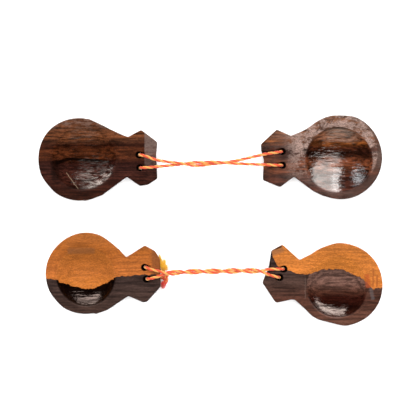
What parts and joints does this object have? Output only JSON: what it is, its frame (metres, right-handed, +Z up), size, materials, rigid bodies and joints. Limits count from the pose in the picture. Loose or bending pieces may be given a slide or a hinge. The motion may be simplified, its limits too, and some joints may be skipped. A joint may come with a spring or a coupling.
{
  "type": "two pairs of castanets",
  "caption": "Hand-carved wooden castanets: hollow round shells with notched ears, joined in pairs by twisted cords knotted through holes in the ears.",
  "frame": {"origin": "on the table, under the centre of the box round the four shells", "axes": "+X from the left shells to the right ones, +Y from pair B to pair A, +Z up out of the hollows"},
  "size_m": [0.2618, 0.1604, 0.0174],
  "materials": {
    "dark_wood": "dark reddish brown hardwood, hand-carved and lacquered",
    "two_tone_wood": "orange sapwood above dark heartwood, smoothed and lacquered",
    "cord": "two-ply cord, one red ply and one yellow ply"
  },
  "bodies": {
    "pair_a_left": {"shell_a_left": "dark_wood", "cord_a_upper_left": "cord", "cord_a_lower_left": "cord", "cord_a_upper_lead": "cord", "cord_a_lower_lead": "cord", "cord_a_knot": "cord"},
    "cord_a_right": {"cord_a_upper_right": "cord", "cord_a_lower_right": "cord"},
    "cord_a_eyes": {"cord_a_upper_eye": "cord", "cord_a_lower_eye": "cord"},
    "pair_a_right": {"shell_a_right": "dark_wood", "cord_a_loop": "cord"},
    "pair_b_left": {"shell_b_left": "two_tone_wood", "cord_b_upper_left": "cord", "cord_b_lower_left": "cord", "cord_b_twist_left": "cord", "cord_b_upper_lead": "cord", "cord_b_lower_lead": "cord", "cord_b_knot": "cord", "cord_b_upper_tail": "cord", "cord_b_lower_tail": "cord", "cord_b_frayed_end": "cord"},
    "cord_b_right": {"cord_b_twist_right": "cord", "cord_b_upper_right": "cord", "cord_b_lower_right": "cord"},
    "cord_b_eyes": {"cord_b_upper_eye": "cord", "cord_b_lower_eye": "cord"},
    "pair_b_right": {"shell_b_right": "two_tone_wood", "cord_b_loop": "cord"}
  },
  "joints": [
    {"name": "fold_a", "type": "hinge", "parent": "pair_a_left", "child": "cord_a_right", "pos_m": [0.00061, 0.044, 0.01485], "axis": [0, -1, 0], "range_deg": [0, 174]},
    {"name": "clap_a", "type": "hinge", "parent": "cord_a_right", "child": "cord_a_eyes", "pos_m": [0.05505, 0.0472, 0.015], "axis": [0, -1, 0], "range_deg": [0, 9.7]},
    {"name": "swing_a", "type": "hinge", "parent": "cord_a_eyes", "child": "pair_a_right", "pos_m": [0.05505, 0.0472, 0.015], "axis": [0, 0, 1], "range_deg": [-10.6, 0]},
    {"name": "lift_b", "type": "slide", "parent": "pair_a_left", "child": "pair_b_left", "axis": [0, 0, 1], "range_m": [0, 0.15]},
    {"name": "fold_b", "type": "hinge", "parent": "pair_b_left", "child": "cord_b_right", "pos_m": [0.00272, -0.0389, 0.01498], "axis": [0, -1, 0], "range_deg": [0, 174]},
    {"name": "clap_b", "type": "hinge", "parent": "cord_b_right", "child": "cord_b_eyes", "pos_m": [0.0547, -0.0401, 0.015], "axis": [0, -1, 0], "range_deg": [0, 9.7]},
    {"name": "swing_b", "type": "hinge", "parent": "cord_b_eyes", "child": "pair_b_right", "pos_m": [0.0547, -0.0401, 0.015], "axis": [0, 0, 1], "range_deg": [0, 10.6]}
  ]
}
